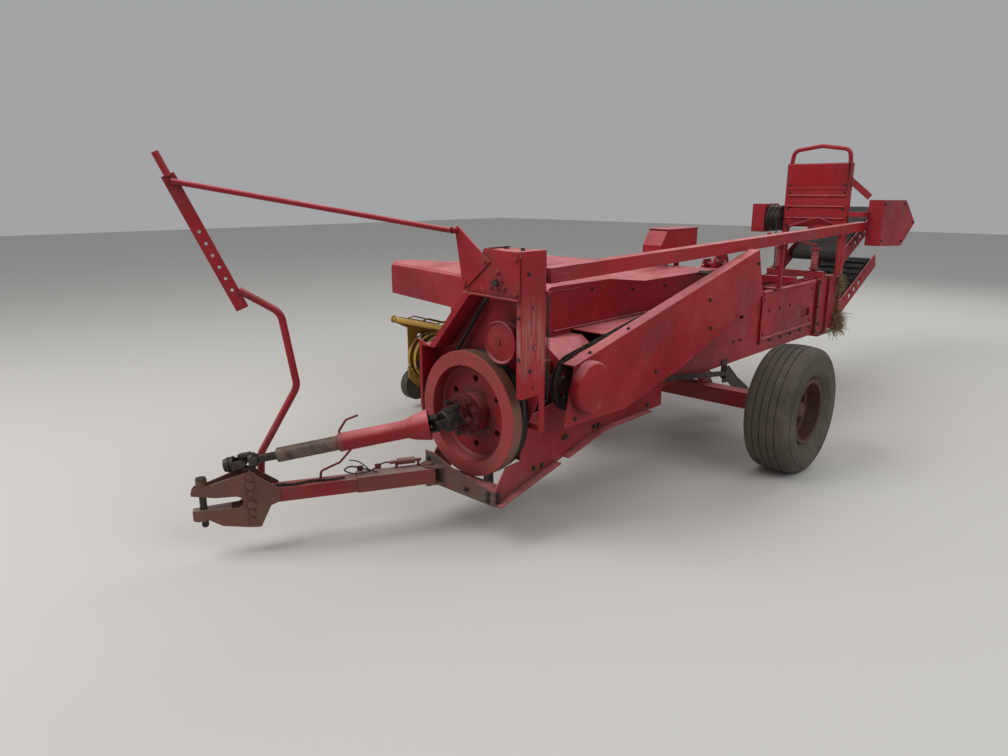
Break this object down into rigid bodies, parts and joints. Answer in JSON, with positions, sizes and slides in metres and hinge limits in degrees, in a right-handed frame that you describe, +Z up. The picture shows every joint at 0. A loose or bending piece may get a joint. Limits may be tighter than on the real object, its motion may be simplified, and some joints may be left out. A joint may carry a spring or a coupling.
{
  "type": "square baler with belt bale thrower",
  "caption": "Towed square baler: tongue and hitch, flywheel driveline, side pickup, feeder hood, long bale case on two wheels, knotter and rear belt thrower.",
  "frame": {"origin": "middle of the machine's footprint on the ground", "axes": "+Z up, -Y in the direction of travel towards the hitch, +X to the machine's left side, with the bale case along Y"},
  "size_m": [2.85, 6.403, 2.0414],
  "materials": {
    "red_paint": "faded, scratched and dusty enamel",
    "yellow_paint": "worn enamel with rust at the edges",
    "worn_steel": "greasy, rusty steel",
    "rusty_rim": "rusted paint",
    "tyre_rubber": "weathered ribbed rubber",
    "belt_rubber": "matte belt rubber"
  },
  "bodies": {
    "chassis": {"main_frame": "red_paint", "tongue": "red_paint", "hitch_clevis": "worn_steel", "hitch_pin": "worn_steel", "control_lever": "red_paint", "control_rod": "red_paint", "clutch_bracket": "red_paint", "driveline_guard": "red_paint", "belt_pan": "red_paint", "belt_tower": "red_paint", "belt_channel": "red_paint", "drive_belts": "belt_rubber", "top_sheave": "worn_steel", "idler_pulley": "red_paint", "gearbox": "red_paint", "plunger": "worn_steel", "case_walls": "red_paint", "case_floor": "red_paint", "case_roof": "red_paint", "side_panel": "red_paint", "drive_shield": "red_paint", "chain_drive": "worn_steel", "hood": "red_paint", "feeder_floor": "red_paint", "axle_beam": "red_paint", "knotter_frame": "red_paint", "needle_yoke": "worn_steel", "tension_rails": "red_paint", "thrower_frame": "red_paint", "thrower_belts": "belt_rubber", "rear_drive_guard": "red_paint", "drive_tube": "red_paint", "twine_box": "red_paint"},
    "left_wheel": {"left_tyre": "tyre_rubber", "left_rim": "rusty_rim"},
    "right_wheel": {"right_tyre": "tyre_rubber", "right_rim": "rusty_rim"},
    "flywheel": {"flywheel": "red_paint", "slip_clutch": "worn_steel"},
    "driveline": {"driveline_shaft": "worn_steel"},
    "pickup": {"pickup_frame": "yellow_paint", "strippers": "yellow_paint"},
    "reel": {"pickup_reel": "worn_steel"},
    "gauge_wheel": {"gauge_wheel": "tyre_rubber"},
    "stand_leg": {"stand_leg": "worn_steel"},
    "twine_lid": {"twine_lid": "red_paint"}
  },
  "joints": [
    {"name": "left_wheel_spin", "type": "hinge", "parent": "chassis", "child": "left_wheel", "pos_m": [1.285, -0.20453, 0.385], "axis": [1, 0, 0], "continuous": true},
    {"name": "right_wheel_spin", "type": "hinge", "parent": "chassis", "child": "right_wheel", "pos_m": [-1.225, -0.20453, 0.385], "axis": [1, 0, 0], "continuous": true},
    {"name": "flywheel_spin", "type": "hinge", "parent": "chassis", "child": "flywheel", "pos_m": [0.475, -2.12653, 0.606], "axis": [0, -1, 0], "continuous": true},
    {"name": "driveline_spin", "type": "hinge", "parent": "chassis", "child": "driveline", "pos_m": [0.475, -2.32953, 0.606], "axis": [-0.6486, -0.7399, -0.1786], "continuous": true},
    {"name": "pickup_lift", "type": "hinge", "parent": "chassis", "child": "pickup", "pos_m": [-0.595, -0.66453, 0.59], "axis": [-1, 0, 0], "range_deg": [-4, 14]},
    {"name": "reel_spin", "type": "hinge", "parent": "pickup", "child": "reel", "pos_m": [-0.595, -0.84453, 0.412], "axis": [1, 0, 0], "continuous": true},
    {"name": "gauge_wheel_spin", "type": "hinge", "parent": "pickup", "child": "gauge_wheel", "pos_m": [-1.39, -0.90453, 0.185], "axis": [1, 0, 0], "continuous": true},
    {"name": "stand_slide", "type": "slide", "parent": "chassis", "child": "stand_leg", "axis": [0, 0, 1], "range_m": [0, 0.22]},
    {"name": "twine_lid_hinge", "type": "hinge", "parent": "chassis", "child": "twine_lid", "pos_m": [0.017, 0.34047, 1.3894], "axis": [0, -1, 0], "range_deg": [0, 100]}
  ],
  "couplings": [
    {"joint": "driveline_spin", "follows": "flywheel_spin", "ratio": 1}
  ]
}
